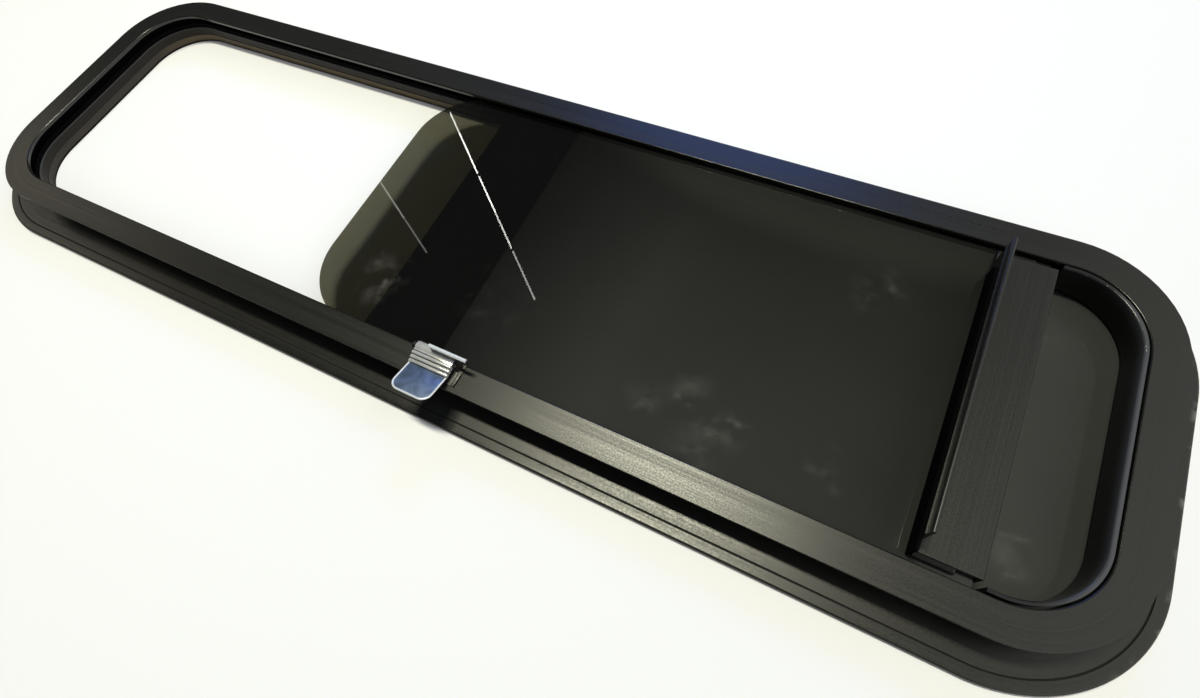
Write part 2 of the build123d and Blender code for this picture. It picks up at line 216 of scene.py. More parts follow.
# Painted shade in the valleys between the grip ridges: band in each pitch, start before the ramp, share of
# the colour left
VALLEY_SHADE_BAND = (0.34, 0.42)
VALLEY_SHADE_START = 0.6 * MM
VALLEY_SHADE_SHARE = 0.06

# Formed lever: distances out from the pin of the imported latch, along the tab and up from it
LEVER_WIDTH = 28.2 * MM
BARREL = 3.6 * MM
PIN_BORE = 1.58 * MM
BARREL_SIDES = 36
SHEET_BEVEL = 0.22 * MM
TAB_TURN = math.radians(182.0)
TAB_UNDER = -0.55 * MM
TAB_UPPER = 0.20 * MM
TAB_BEVEL = 0.10 * MM
CORNER_STEPS = 10
RIM_SIDES = 14
RAMP_START = 3.4 * MM
RAMP_END = 11.0 * MM
RAMP_RISE = 2.9 * MM
RAMP_BACK = 1.5 * MM
RAMP_LAP = 0.3 * MM
RAMP_HEEL = -0.7 * MM
RAMP_TOE = -0.5 * MM
RIDGES = 3
RIDGE_PITCH = (RAMP_END - RAMP_START) / RIDGES
RIDGE_ARC = (20, 165)
RIDGE_STEPS = 8

# Latch nose and its rolled edge, and the spring clip beside the lever
NOSE_TURN = math.radians(85.0)
NOSE_LEAD = 11.7 * MM
NOSE_ROOT = 5.6 * MM
NOSE_EXTRA = 3.4 * MM
NOSE_SINK = 0.6 * MM
NOSE_HALF = 0.7 * MM
EDGE_INSET = 0.15
EDGE_SHARE = 0.98
EDGE_SIDES = 16
CLIP_WIRE = 0.45 * MM
CLIP_GAP = 2.3 * MM
CLIP_REACH = 8.2 * MM
CLIP_SEAT = 1.0 * MM
CLIP_SINK = 0.8
CLIP_SIDES = 10

# Mesh pieces: points closer than this are one, and edges sharper than these angles are rounded or stay sharp
WELD = 1e-7
BEVEL_SEGMENTS = 2
BEVEL_ANGLE = math.radians(40)
SHARP_ANGLE = math.radians(42)

# Room light: ramps over the direction's parts, for the bright side and the far glow
BRIGHT_X = (0.20, 0.60)
BRIGHT_Z = (0.15, 0.55)
GLOW_X = (-0.45, -0.25)
GLOW_Y = (0.575, 0.605)
GLOW_SHARE = 0.3
FLOOR_HALF = 6.0
FLOOR_ROUGHNESS = 0.9

# Lamps: place, aim, both sides, watts and colour
OVERHEAD_LAMP = {
    "place": (-0.15, 0.33, 2.40), "aim": (-0.05, 0.10, 0.0), "size": (0.80, 0.16), "power": 45.5,
    "colour": (1.0, 0.985, 0.765)}
SKY_PANEL = {
    "place": (-0.18, 1.29, 1.00), "aim": (0.15, 0.109, 0.03), "size": (0.85, 0.34), "power": 1.13,
    "colour": (0.08, 0.25, 1.0)}
SKY_SPREAD = math.radians(80)
LEFT_PANEL = {
    "place": (-1.64, 0.02, 0.76), "aim": (-0.35, -0.108, 0.03), "size": (0.40, 0.50), "power": 0.72,
    "colour": (1.0, 0.93, 0.72), "along": (0.0, 1.0, 0.0)}

# Ceiling tubes: both ends of a line, its width, and its runs as two shares of the line and watts per metre
CEILING = 2.02
TUBE_COLOUR = (1.0, 1.0, 0.96)
FIRST_TUBE = {
    "start": (-1.913, 1.661), "end": (-0.893, 0.801), "width": 7.5 * MM,
    "runs": ((0.03, 0.16, 0.28), (0.16, 0.388, 0.50), (0.402, 0.59, 0.46), (0.59, 0.768, 0.29),
             (0.782, 1.0, 0.14))}
SECOND_TUBE = {
    "start": (-2.150, 1.202), "end": (-1.500, 0.826), "width": 8.0 * MM,
    "runs": ((0.0, 0.66, 0.085), (0.67, 1.0, 0.045))}

# Camera: its three directions, its sensor's width in millimetres and the nearest distance that it sees
CAMERA_RIGHT = Vector((0.8894277, 0.4412471, -0.1192451))
CAMERA_DOWN = Vector((0.3550883, -0.8313109, -0.4275915))
CAMERA_AHEAD = Vector((-0.2878032, 0.3379692, -0.8960726))
SENSOR_WIDTH = 36.0
CLIP_START = 10.0 * MM

# Short names for the first inputs of a node whose sockets share one name
SOCKETS = {"a": 0, "b": 1, "c": 2}


class FinishSettings(bpy.types.PropertyGroup):
    """Colours and gloss of the window's materials."""

    anodised_colour: bpy.props.FloatVectorProperty(
        name="Anodised black", description="Colour of the black anodised extrusions",
        subtype="COLOR", size=3, default=(0.0076, 0.0074, 0.0066))
    anodised_roughness: bpy.props.FloatProperty(
        name="Anodised roughness", description="Mean roughness of the anodised skin",
        subtype="FACTOR", min=0.0, max=1.0, default=0.34)
    wall_colour: bpy.props.FloatVectorProperty(
        name="Track wall", description="Browner black inside the slider track",
        subtype="COLOR", size=3, default=(0.029, 0.0252, 0.0205))
    # Brown of the low band on the far wall
    far_low_colour: bpy.props.FloatVectorProperty(
        name="Far wall low band", description="Brown band low on the far track wall, under paler streaks",
        subtype="COLOR", size=3, default=(0.102, 0.078, 0.048))
    # Painted highlight on the edge of the ledge
    ledge_highlight_colour: bpy.props.FloatVectorProperty(
        name="Ledge highlight", description="Painted highlight on the edge of the ledge under the glass run",
        subtype="COLOR", size=3, default=(0.060, 0.060, 0.066))
    glass_colour: bpy.props.FloatVectorProperty(
        name="Glass body", description="Light that the tinted glass scatters back",
        subtype="COLOR", size=3, default=(0.0015, 0.0015, 0.0014))
    glass_tint: bpy.props.FloatVectorProperty(
        name="Glass tint", description="Light that passes each face of a pane",
        subtype="COLOR", size=3, default=(0.309, 0.305, 0.255))
    fixed_tint: bpy.props.FloatVectorProperty(
        name="Fixed pane tint", description="Light that passes each face of the fixed pane",
        subtype="COLOR", size=3, default=(0.210, 0.208, 0.190))
    # Also the colour of the painted light in the slider's haze step
    haze_colour: bpy.props.FloatVectorProperty(
        name="Haze, marks and painted light", description="Colour of dust and finger marks on the panes, and of the slider's painted light",
        subtype="COLOR", size=3, default=(0.110, 0.110, 0.115))
    rubber_colour: bpy.props.FloatVectorProperty(
        name="Rubber black", description="Colour of the gasket and glass run",
        subtype="COLOR", size=3, default=(0.0018, 0.0018, 0.0019))
    plastic_colour: bpy.props.FloatVectorProperty(
        name="Plastic black", description="Colour of the liner and end plugs",
        subtype="COLOR", size=3, default=(0.0036, 0.0036, 0.0040))
    # Painted sheen on the liner's rounded top
    painted_sheen_colour: bpy.props.FloatVectorProperty(
        name="Liner sheen", description="Colour of the painted sheen below the liner's top edge",
        subtype="COLOR", size=3, default=(0.093, 0.098, 0.115))
    chrome_colour: bpy.props.FloatVectorProperty(
        name="Chrome", description="Colour of the latch's bright rolled edges and ridges",
        subtype="COLOR", size=3, default=(0.70, 0.71, 0.73))
    # Chrome rim and nose bead, painted paler and bluer as a highlight
    bead_highlight_colour: bpy.props.FloatVectorProperty(
        name="Latch rim", description="Colour of the chrome rim and nose bead, with a painted blue-white highlight",
        subtype="COLOR", size=3, default=(0.84, 0.89, 0.97))
    # Painted reflection: the tab's blue-grey stands in for blue sky mirrored in chrome
    tab_sky_colour: bpy.props.FloatVectorProperty(
        name="Latch tab", description="Painted reflection of blue sky on the latch's chrome tab",
        subtype="COLOR", size=3, default=(0.125, 0.180, 0.310))
    steel_colour: bpy.props.FloatVectorProperty(
        name="Latch steel", description="Colour of the latch base and pin",
        subtype="COLOR", size=3, default=(0.13, 0.13, 0.125))


class LatchSettings(bpy.types.PropertyGroup):
    """Sizes of the formed latch lever."""

    tab_length: bpy.props.FloatProperty(
        name="Tab length", description="From the ridges to the tab's outer edge", unit="LENGTH",
        default=20.3 * MM)
    tab_rise: bpy.props.FloatProperty(
        name="Tab rise", description="Upward bend of the tab beyond the ridges", unit="ROTATION",
        default=math.radians(19.0))
    tab_corner: bpy.props.FloatProperty(
        name="Tab corner", description="Round of the tab's outer corners", unit="LENGTH", default=6.6 * MM)
    rim_radius: bpy.props.FloatProperty(
        name="Rim", description="Radius of the rolled rim round the tab", unit="LENGTH", default=0.62 * MM)
    ridge_radius: bpy.props.FloatProperty(
        name="Ridge", description="Radius of a grip ridge", unit="LENGTH", default=0.95 * MM)
    nose_bead: bpy.props.FloatProperty(
        name="Nose bead", description="Radius of the rolled edge on the nose", unit="LENGTH",
        default=1.2 * MM)


class StageSettings(bpy.types.PropertyGroup):
    """Floor, lamps and camera."""

    floor_colour: bpy.props.FloatVectorProperty(
        name="Floor", description="Colour of the pale studio floor",
        subtype="COLOR", size=3, default=(0.90, 0.905, 0.965))
    dim_side: bpy.props.FloatVectorProperty(
        name="Dim side", description="Soft room light from the left",
        subtype="COLOR", size=3, default=(0.046, 0.050, 0.058))
    bright_side: bpy.props.FloatVectorProperty(
        name="Bright side", description="Soft room light from the right",
        subtype="COLOR", size=3, default=(1.45, 1.45, 1.37))
    far_glow: bpy.props.FloatVectorProperty(
        name="Far glow", description="Faint glow low on the far side of the room",
        subtype="COLOR", size=3, default=(0.62, 0.64, 0.46))
    lens: bpy.props.FloatProperty(
        name="Lens", description="Focal length on a 36 mm sensor", unit="CAMERA", default=18.641)
    camera_place: bpy.props.FloatVectorProperty(
        name="Camera place", description="Where the camera stands",
        subtype="XYZ", unit="LENGTH", size=3, default=(0.2326, -0.1822, 0.3600))


def finishes():
    """Finish settings of this scene."""
    return bpy.context.scene.window_finishes


def latch_sizes():
    """Latch settings of this scene."""
    return bpy.context.scene.window_latch


def stage_settings():
    """Stage settings of this scene."""
    return bpy.context.scene.window_stage


def add(tree, kind, settings=None, **inputs):
    """Adds a shader node, sets its options, and fills or links its inputs by socket name."""
    made = tree.nodes.new(kind)
    for option, value in (settings or {}).items():
        setattr(made, option, value)
    for socket, value in inputs.items():
        fill(tree, made.inputs[SOCKETS.get(socket, socket)], value)
    return made


def fill(tree, socket, value):
    """Links a socket to another one, or sets its plain value."""
    if isinstance(value, bpy.types.NodeSocket):
        tree.links.new(value, socket)
    else:
        socket.default_value = value


def maths(tree, operation, a, b=0.0):
    """One Math node's result."""
    return add(tree, "ShaderNodeMath", {"operation": operation}, a=a, b=b).outputs[0]


def product(tree, first, *others):
    """Several values multiplied."""
    for value in others:
        first = maths(tree, "MULTIPLY", first, value)
    return first


def total(tree, first, *others):
    """Several values added up."""
    for value in others:
        first = maths(tree, "ADD", first, value)
    return first


def distance(tree, value, middle):
    """How far a value is from a middle, either way."""
    return maths(tree, "ABSOLUTE", maths(tree, "SUBTRACT", value, middle))


def vector_maths(tree, operation, a, b=(0.0, 0.0, 0.0)):
    """One Vector Math node: its vector, or its value for a length."""
    made = add(tree, "ShaderNodeVectorMath", {"operation": operation}, a=a, b=b)
    return made.outputs["Value" if operation == "LENGTH" else "Vector"]


def axes_of(tree, vector):
    """A vector's X, Y and Z as sockets."""
    return add(tree, "ShaderNodeSeparateXYZ", Vector=vector).outputs


def span(tree, value, low, high, to_low=0.0, to_high=1.0):
    """Maps a value from one range to another, held at both ends."""
    made = add(tree, "ShaderNodeMapRange", {"clamp": True}, Value=value)
    for name, number in zip(("From Min", "From Max", "To Min", "To Max"), (low, high, to_low, to_high)):
        made.inputs[name].default_value = number
    return made.outputs[0]


def blend_colours(tree, share, first, second):
    """Mixes two colours by a share."""
    made = tree.nodes.new("ShaderNodeMix")
    made.data_type = "RGBA"
    fill(tree, made.inputs["Factor"], share)
    colours = [socket for socket in made.inputs if socket.type == "RGBA"]
    fill(tree, colours[0], colour4(first))
    fill(tree, colours[1], colour4(second))
    return next(socket for socket in made.outputs if socket.type == "RGBA")


def colour4(value):
    """A colour with alpha, or the socket itself."""
    if isinstance(value, bpy.types.NodeSocket):
        return value
    return (*value[:3], 1.0)


def dimmed(colour, share):
    """A colour times a share."""
    return tuple(part * share for part in colour)


def noise(tree, vector, scale, detail=2.0, roughness=0.5, distortion=0.0):
    """A Noise texture's value."""
    made = add(tree, "ShaderNodeTexNoise", Vector=vector, Scale=scale, Detail=detail, Roughness=roughness,
               Distortion=distortion)
    return made.outputs["Fac"]


def new_material(name):
    """An empty principled material: the material, its tree and its shader."""
    made = bpy.data.materials.new(name)
    made.use_nodes = True
    return made, made.node_tree, made.node_tree.nodes["Principled BSDF"]


def bump_up(tree, shader, strength, depth, height):
    """Gives a shader a bump from a height."""
    bump = add(tree, "ShaderNodeBump", Strength=strength, Distance=depth, Height=height)
    fill(tree, shader.inputs["Normal"], bump.outputs[0])


def object_place(tree):
    """Object coordinates, in metres."""
    return tree.nodes.new("ShaderNodeTexCoord").outputs["Object"]


def aperture_offset(tree, place):
    """Distance outward from the aperture's rounded outline, so that a pattern follows the bent frame."""
    corner = (HALF_LENGTH - CORNER_RADIUS, HALF_HEIGHT - CORNER_RADIUS, 0.0)
    folded = vector_maths(tree, "SUBTRACT", vector_maths(tree, "ABSOLUTE", place), corner)
    outside = vector_maths(tree, "MAXIMUM", folded)
    flat = vector_maths(tree, "MULTIPLY", outside, (1.0, 1.0, 0.0))
    return maths(tree, "SUBTRACT", vector_maths(tree, "LENGTH", flat), CORNER_RADIUS)


def extrusion_lines(tree, place, offset, fineness, stretch):
    """Streaks that run along the extrusion, from the offset, the height and a slow run along it."""
    axes = axes_of(tree, place)
    run = total(tree, axes["X"], product(tree, axes["Y"], LINE_SLANT))
    across = add(
        tree, "ShaderNodeCombineXYZ", X=product(tree, offset, fineness), Y=product(tree, axes["Z"], fineness),
        Z=product(tree, run, stretch))
    return noise(tree, across.outputs[0], 1.0, detail=3.0, roughness=0.6)


def track_walls(tree, place, offset, colour, rough):
    """Browner track walls with painted shade on the upper wall and at the foot, a paler band low down and a
    painted highlight on the ledge edge: colour, roughness and shine.
    """
    look = finishes()
    axes = axes_of(tree, place)
    inside = span(tree, offset, *WALL_BAND, 1.0, 0.0)
    far_side = span(tree, axes["Y"], *FAR_SIDE)
    streak = span(tree, extrusion_lines(tree, place, offset, *LOW_STREAK_LINES), *LOW_STREAK_BAND, 0.0, LOW_STREAK_SHARE)
    # The walls are paler below a height, browner with paler streaks on the far side
    worn = blend_colours(tree, far_side, dimmed(look.wall_colour, WALL_LOW_GAIN), look.far_low_colour)
    worn = blend_colours(tree, product(tree, streak, far_side), worn, dimmed(look.far_low_colour, LOW_STREAK_GAIN))
    # Painted shade darkens the wall above the low band
    shaded = dimmed(look.wall_colour, WALL_SHADE)
    wall = blend_colours(tree, span(tree, axes["Z"], *WALL_LOW_BAND, 1.0, 0.0), shaded, worn)
    # Painted shade along the wall's foot
    wall = blend_colours(tree, span(tree, axes["Z"], *FOOT_SHADE_BAND, 1.0, 0.0), wall, FOOT_SHADE_COLOUR)
    # Painted highlight along the edge of the ledge under the glass run
    ledge = span(tree, distance(tree, axes["Z"], LEDGE_TOP), *LEDGE_HIGHLIGHT_BAND, 1.0, 0.0)
    wall = blend_colours(tree, ledge, wall, look.ledge_highlight_colour)
    rougher = total(tree, rough, product(tree, inside, WALL_ROUGHER))
    shine = span(tree, inside, 0.0, 1.0, SKIN_SHINE, WALL_SHINE)
    return blend_colours(tree, inside, colour, wall), rougher, shine


def flange_groove(tree, place, offset, colour, rough):
    """Painted shade in the groove round the flange, a smoother rim and scuffs at the fixed end: colour and
    roughness.
    """
    # Painted shade darkens the groove round the flange
    dark = span(tree, distance(tree, offset, GROOVE_OFFSET), *GROOVE_BAND, 1.0, 0.0)
    colour = blend_colours(tree, dark, colour, GROOVE_SHADE_COLOUR)
    rough = total(tree, rough, product(tree, dark, GROOVE_ROUGHER))
    rim = span(tree, offset, GROOVE_OFFSET, GROOVE_OFFSET + MM, 0.0, RIM_SMOOTHER)
    rough = maths(tree, "SUBTRACT", rough, rim)
    end = span(tree, axes_of(tree, place)["X"], *SCUFF_END)
    patches = span(tree, noise(tree, place, SCUFF_SCALE, detail=5.0), *SCUFF_BAND)
    scuff = product(tree, span(tree, offset, *SCUFF_RIM), patches, end)
    return blend_colours(tree, scuff, colour, SCUFF_COLOUR), rough


def anodised_material(name, flanged=False, edge=False, straight=False):
    """Satin black anodised aluminium with die lines, for the flanged frame, the ring or the stile."""
    look = finishes()
    made, tree, shader = new_material(name)
    place = object_place(tree)
    offset = axes_of(tree, place)["X"] if straight else aperture_offset(tree, place)
    broad = extrusion_lines(tree, place, offset, *BROAD_LINES)
    fine = extrusion_lines(tree, place, offset, *FINE_LINES)
    grain = noise(tree, place, GRAIN_SCALE, detail=3.0)
    cloud = noise(tree, place, CLOUD_SCALE, detail=4.0)
    pale = tuple(part * PALE_GAIN + PALE_LIFT for part in look.anodised_colour)
    pale_share = product(tree, span(tree, fine, *PALE_LINES), span(tree, cloud, *PALE_CLOUDS))
    colour = blend_colours(tree, pale_share, look.anodised_colour, pale)
    mean = [look.anodised_roughness + swing for swing in BROAD_SWING]
    rough = total(tree, span(tree, broad, *BROAD_BAND, *mean), span(tree, grain, *GRAIN_BAND, *GRAIN_SWING),
                  span(tree, fine, *FINE_BAND, *FINE_SWING))
    shine = SKIN_SHINE
    if flanged:
        colour, rough, shine = track_walls(tree, place, offset, colour, rough)
        colour, rough = flange_groove(tree, place, offset, colour, rough)
    if edge:
        rubbed = span(tree, offset, *EDGE_BAND, 1.0, 0.0)
        rough = maths(tree, "SUBTRACT", rough, product(tree, rubbed, EDGE_SMOOTHER))
    fill(tree, shader.inputs["Base Color"], colour)
    fill(tree, shader.inputs["Roughness"], rough)
    fill(tree, shader.inputs["Specular IOR Level"], shine)
    ripple = total(tree, broad, product(tree, fine, FINE_RIPPLE))
    bump_up(tree, shader, STRAIGHT_STRENGTH if straight else RIPPLE_STRENGTH, RIPPLE_DEPTH, ripple)
    return made


def finger_marks(tree, place, marks):
    """Smeared strokes round given places on a pane: (x, y, radius, strength) in metres."""
    smear = span(tree, noise(tree, place, SMEAR_SCALE, detail=4.0), *SMEAR_BAND)
    swirl = distance(tree, noise(tree, place, SWIRL_SCALE, detail=1.0), 0.5)
    strokes = product(tree, span(tree, swirl, 0.0, SWIRL_WIDTH, SWIRL_STRENGTH, 0.0),
                      span(tree, noise(tree, place, STROKE_SCALE), *STROKE_BAND))
    wisps = total(tree, product(tree, smear, SMEAR_SHARE), strokes)
    near = []
    for x, y, radius, strength in marks:
        apart = vector_maths(tree, "SUBTRACT", place, (x, y, 0.0))
        flat = vector_maths(tree, "MULTIPLY", apart, (1.0, 1.0, 0.0))
        near.append(span(tree, vector_maths(tree, "LENGTH", flat), radius * MARK_CORE, radius, strength, 0.0))
    return product(tree, wisps, total(tree, *near))


def glass_material(name, tint, marks, haze, skin, border, bare, fade, lean):
    """Dark tinted pane: tinted see-through, mirror skin over a faint haze, dust and finger marks; on the
    slider the haze also paints light and shade by the mullion.
    """
    look = finishes()
    made, tree, shader = new_material(name)
    place = object_place(tree)
    axes = axes_of(tree, place)
    # Haze, partly painted light: on the slider its step at the mullion's edge and its ramp beyond paint the
    # double glass lighter
    haze_film_and_painted_light = product(
        tree, span(tree, noise(tree, place, FILM_SCALE, detail=5.0), *FILM_BAND, *dimmed(FILM_SWING, haze)),
        span(tree, axes["X"], border - BORDER_SOFTNESS, border, bare, 1.0),
        span(tree, axes["X"], border, border + fade, FADE_START, 1.0),
        span(tree, axes["Y"], -HALF_HEIGHT, HALF_HEIGHT, *lean))
    specks = span(tree, noise(tree, place, SPECK_SCALE, detail=1.0), *SPECK_BAND, 0.0, SPECK_STRENGTH)
    dirt_and_painted_light = total(tree, haze_film_and_painted_light, specks, finger_marks(tree, place, marks))
    fill(tree, shader.inputs["Base Color"], blend_colours(tree, dirt_and_painted_light, look.glass_colour, look.haze_colour))
    shader.inputs["Roughness"].default_value = HAZE_ROUGHNESS
    shader.inputs["Specular IOR Level"].default_value = 0.0
    shader.inputs["Coat Weight"].default_value = skin
    shader.inputs["Coat Roughness"].default_value = MIRROR_ROUGHNESS
    shader.inputs["Coat IOR"].default_value = GLASS_IOR
    clear = add(tree, "ShaderNodeBsdfTransparent", Color=colour4(tint))
    both = tree.nodes.new("ShaderNodeAddShader")
    tree.links.new(clear.outputs[0], both.inputs[0])
    tree.links.new(shader.outputs[0], both.inputs[1])
    tree.links.new(both.outputs[0], tree.nodes["Material Output"].inputs["Surface"])
    return made


def painted_sheen_share(tree, place, corner):
    """Share of painted sheen on the liner: most just under its top edge at the end, by its box's upper
    corner.
    """
    axes = axes_of(tree, place)
    height = span(tree, axes["Z"], corner.z - SHEEN_DEPTH, corner.z)
    lip = span(tree, axes["Z"], corner.z - SHEEN_LIP, corner.z, 1.0, LIP_SHARE)
    start, full = (corner.x - run for run in SHEEN_RUN)
    end = span(tree, axes["X"], start, full, SIDE_SHARE, 1.0)
    return product(tree, maths(tree, "POWER", height, SHEEN_FALL), lip, end)


def soft_black_material(name, colour, roughness, grain, shine, relief, sheen_corner=None):
    """Rubber or moulded plastic: black with a fine grain, and a painted sheen under the top edge where a
    box's upper corner is given.
    """
    made, tree, shader = new_material(name)
    place = object_place(tree)
    speck = noise(tree, place, grain, detail=3.0)
    pale = tuple(part * GRAIN_GAIN + shine * GRAIN_LIFT for part in colour)
    black = blend_colours(tree, span(tree, speck, *GRAIN_PALE), colour, pale)
    # Painted sheen: the liner is painted paler just under its top edge
    if sheen_corner:
        black = blend_colours(tree, painted_sheen_share(tree, place, sheen_corner), black, finishes().painted_sheen_colour)
    spread = relief * GRAIN_SPREAD
    fill(tree, shader.inputs["Base Color"], black)
    fill(tree, shader.inputs["Roughness"],
         span(tree, speck, *GRAIN_ROUGH, roughness - spread, roughness + spread))
    bump_up(tree, shader, relief, GRAIN_DEPTH, speck)
    shader.inputs["Specular IOR Level"].default_value = shine
    return made


def ridge_valley_shade(tree, place):
    """Painted shade lines in the valleys between the lever's grip ridges, by the distance out from the pin.
    """
    reach = maths(tree, "SUBTRACT", box_middle("latch_pin").y, axes_of(tree, place)["Y"])
    step = maths(tree, "FRACT", maths(tree, "DIVIDE", maths(tree, "SUBTRACT", RAMP_END, reach), RIDGE_PITCH))
    line = span(tree, distance(tree, step, 0.5), *VALLEY_SHADE_BAND)
    return product(tree, line, span(tree, reach, RAMP_START - VALLEY_SHADE_START, RAMP_START))


def plated_material(name, colour, roughness, ripple_depth, metal, worn_share, valley_shade=False):
    """Plated sheet with faint ripples, soft clouds in its colour and fine rub marks, and painted shade
    between its grip ridges where asked.
    """
    made, tree, shader = new_material(name)
    place = object_place(tree)
    rubs = noise(tree, place, SHEET_RUBS)
    cloud = noise(tree, place, SHEET_CLOUD, detail=3.0, distortion=CLOUD_WARP)
    worn = total(tree, span(tree, cloud, *WORN_BAND, 0.0, WORN_CLOUDS),
                 span(tree, rubs, *RUBS_BAND, 0.0, WORN_RUBS))
    skin = blend_colours(tree, worn, colour, dimmed(colour, worn_share))
    # Painted shade in the valleys between the grip ridges
    if valley_shade:
        skin = blend_colours(tree, ridge_valley_shade(tree, place), skin, dimmed(colour, VALLEY_SHADE_SHARE))
    fill(tree, shader.inputs["Base Color"], skin)
    fill(tree, shader.inputs["Roughness"],
         span(tree, rubs, *GLOSS_BAND, roughness, roughness + GLOSS_SWING))
    shader.inputs["Metallic"].default_value = metal
    bump_up(tree, shader, SHEET_STRENGTH, ripple_depth, noise(tree, place, SHEET_RIPPLE))
    return made


def dress(node, material):
    """Gives a frame node one material."""
    slots = NODES[node].data.materials
    slots.clear()
    slots.append(material)


def seat(piece, body):
    """Rides a finished piece on its body."""
    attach(piece, body)


def box_middle(node):
    """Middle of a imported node's box."""
    low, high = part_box(node)
    return (low + high) / 2


def new_piece(name, mesh):
    """An object of a mesh, in the scene."""
    piece = bpy.data.objects.new(name, mesh)
    bpy.context.scene.collection.objects.link(piece)
    return piece


def freeze(piece):
    """Turns a piece's evaluated modifiers into its plain mesh."""
    bpy.context.view_layer.update()
    graph = bpy.context.evaluated_depsgraph_get()
    mesh = bpy.data.meshes.new_from_object(piece.evaluated_get(graph))
    old = piece.data
    piece.modifiers.clear()
    piece.data = mesh
    mesh.name = piece.name
    bpy.data.meshes.remove(old)
    return piece


def bead_tree():
    """Geometry Nodes that sweep a round bead along an edge path, closed at its ends."""
    tree = bpy.data.node_groups.new("bead_along_path", "GeometryNodeTree")
    face = tree.interface
    face.new_socket("Path", in_out="INPUT", socket_type="NodeSocketGeometry")
    radius = face.new_socket("Radius", in_out="INPUT", socket_type="NodeSocketFloat")
    sides = face.new_socket("Sides", in_out="INPUT", socket_type="NodeSocketInt")
    finish = face.new_socket("Finish", in_out="INPUT", socket_type="NodeSocketMaterial")
    face.new_socket("Bead", in_out="OUTPUT", socket_type="NodeSocketGeometry")
    start = tree.nodes.new("NodeGroupInput").outputs
    curve = add(tree, "GeometryNodeMeshToCurve", Mesh=start["Path"]).outputs["Curve"]
    ring = add(tree, "GeometryNodeCurvePrimitiveCircle", Resolution=start["Sides"], Radius=start["Radius"])
    swept = tree.nodes.new("GeometryNodeCurveToMesh")
    tree.links.new(curve, swept.inputs["Curve"])
    tree.links.new(ring.outputs["Curve"], swept.inputs["Profile Curve"])
    swept.inputs["Fill Caps"].default_value = True
    smooth = add(tree, "GeometryNodeSetShadeSmooth", Geometry=swept.outputs["Mesh"])
    real = add(tree, "GeometryNodeRealizeInstances", Geometry=smooth.outputs["Geometry"])
    painted = add(tree, "GeometryNodeSetMaterial", Geometry=real.outputs["Geometry"],
                  Material=start["Finish"])
    tree.links.new(painted.outputs["Geometry"], tree.nodes.new("NodeGroupOutput").inputs["Bead"])
    return tree, radius.identifier, sides.identifier, finish.identifier


def bead(name, paths, radius, sides, finish):
    """A piece of round beads along open paths of points."""
    points, edges = [], []
    for path in paths:
        edges += [(len(points) + i, len(points) + i + 1) for i in range(len(path) - 1)]
        points += path
    mesh = bpy.data.meshes.new(name)
    mesh.from_pydata(points, edges, [])
    piece = new_piece(name, mesh)
    tree, *keys = bead_tree()
    step = piece.modifiers.new("bead", "NODES")
    step.node_group = tree
    for key, value in zip(keys, (radius, sides, finish)):
        step[key] = value
    return freeze(piece)


def prism(shape, outline, low, high, place):
    """Adds a closed prism: an outline in two directions, between two values of the third, put in place."""
    ends = [[shape.verts.new(place(u, v, w)) for u, v in outline] for w in (low, high)]
    count = len(outline)
    for i in range(count):
        j = (i + 1) % count
        shape.faces.new((ends[0][i], ends[0][j], ends[1][j], ends[1][i]))
    shape.faces.new(ends[0])
    shape.faces.new(ends[1])


def tube(shape, outer, inner, low, high, place, sides):
    """Adds a closed round tube along the third direction."""
    turns = [2 * math.pi * i / sides for i in range(sides)]
    loops = [[shape.verts.new(place(r * math.cos(t), r * math.sin(t), w)) for t in turns]
             for r, w in ((outer, low), (outer, high), (inner, high), (inner, low))]
    for a, b in zip(loops, loops[1:] + loops[:1]):
        for i in range(sides):
            j = (i + 1) % sides
            shape.faces.new((a[i], a[j], b[j], b[i]))


def arc(x, y, radius, start, end, steps):
    """Points on an arc, in degrees, both ends included."""
    turns = [math.radians(start + (end - start) * i / steps) for i in range(steps + 1)]
    return [(x + radius * math.cos(t), y + radius * math.sin(t)) for t in turns]


def solid_piece(name, shape, finish, bevel):
    """A closed mesh piece with small rounded edges and its material."""
    bmesh.ops.remove_doubles(shape, verts=shape.verts, dist=WELD)
    bmesh.ops.recalc_face_normals(shape, faces=shape.faces)
    mesh = bpy.data.meshes.new(name)
    shape.to_mesh(mesh)
    shape.free()
    mesh.materials.append(finish)
    piece = new_piece(name, mesh)
    step = piece.modifiers.new("bevel", "BEVEL")
    step.width = bevel
    step.segments = BEVEL_SEGMENTS
    step.limit_method = "ANGLE"
    step.angle_limit = BEVEL_ANGLE
    freeze(piece)
    for face in piece.data.polygons:
        face.use_smooth = True
    piece.data.set_sharp_from_angle(angle=SHARP_ANGLE)
    return piece


def open_end_path(stop, offset, height):
    """Points round the frame's open end at an offset from the aperture, from one long side to the other."""
    bend_x, bend_y = CORNER_RADIUS - HALF_LENGTH, HALF_HEIGHT - CORNER_RADIUS
    radius = CORNER_RADIUS + offset
    flat = [(stop, bend_y + radius)] + arc(bend_x, bend_y, radius, 90, 180, BEND_STEPS)
    flat += arc(bend_x, -bend_y, radius, 180, 270, BEND_STEPS) + [(stop, -bend_y - radius)]
    return [(x, y, height) for x, y in flat]


